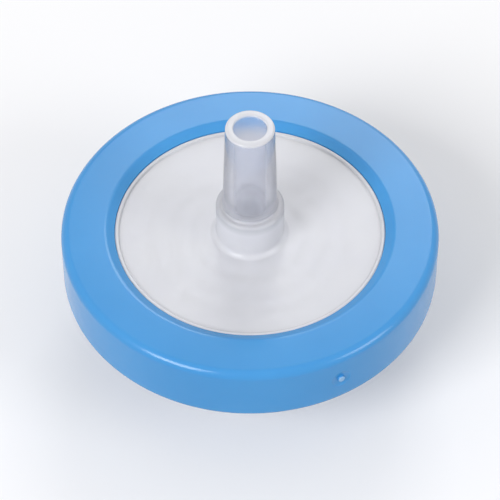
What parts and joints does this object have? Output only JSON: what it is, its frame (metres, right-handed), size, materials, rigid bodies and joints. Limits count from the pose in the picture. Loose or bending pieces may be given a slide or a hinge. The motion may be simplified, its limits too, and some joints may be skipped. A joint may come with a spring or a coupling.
{
  "type": "syringe filter",
  "caption": "Round disposable filter for a syringe: white membrane between translucent halves held by a blue ring, with a female luer-lock inlet and a slip-luer nozzle.",
  "frame": {"origin": "centre of the inlet port's flat rim, on which the filter stands", "axes": "+Z along the flow, from the inlet port up to the outlet nozzle's tip; the two luer-lock lugs lie along X"},
  "size_m": [0.031, 0.031, 0.0243],
  "materials": {
    "natural_polypropylene": "translucent, satin-gloss moulded",
    "membrane": "matt, microporous",
    "blue_polypropylene": "satin moulded"
  },
  "bodies": {
    "root": {"inlet_shell": "natural_polypropylene", "membrane": "membrane", "outlet_shell": "natural_polypropylene", "overmould_ring": "blue_polypropylene"}
  },
  "joints": []
}
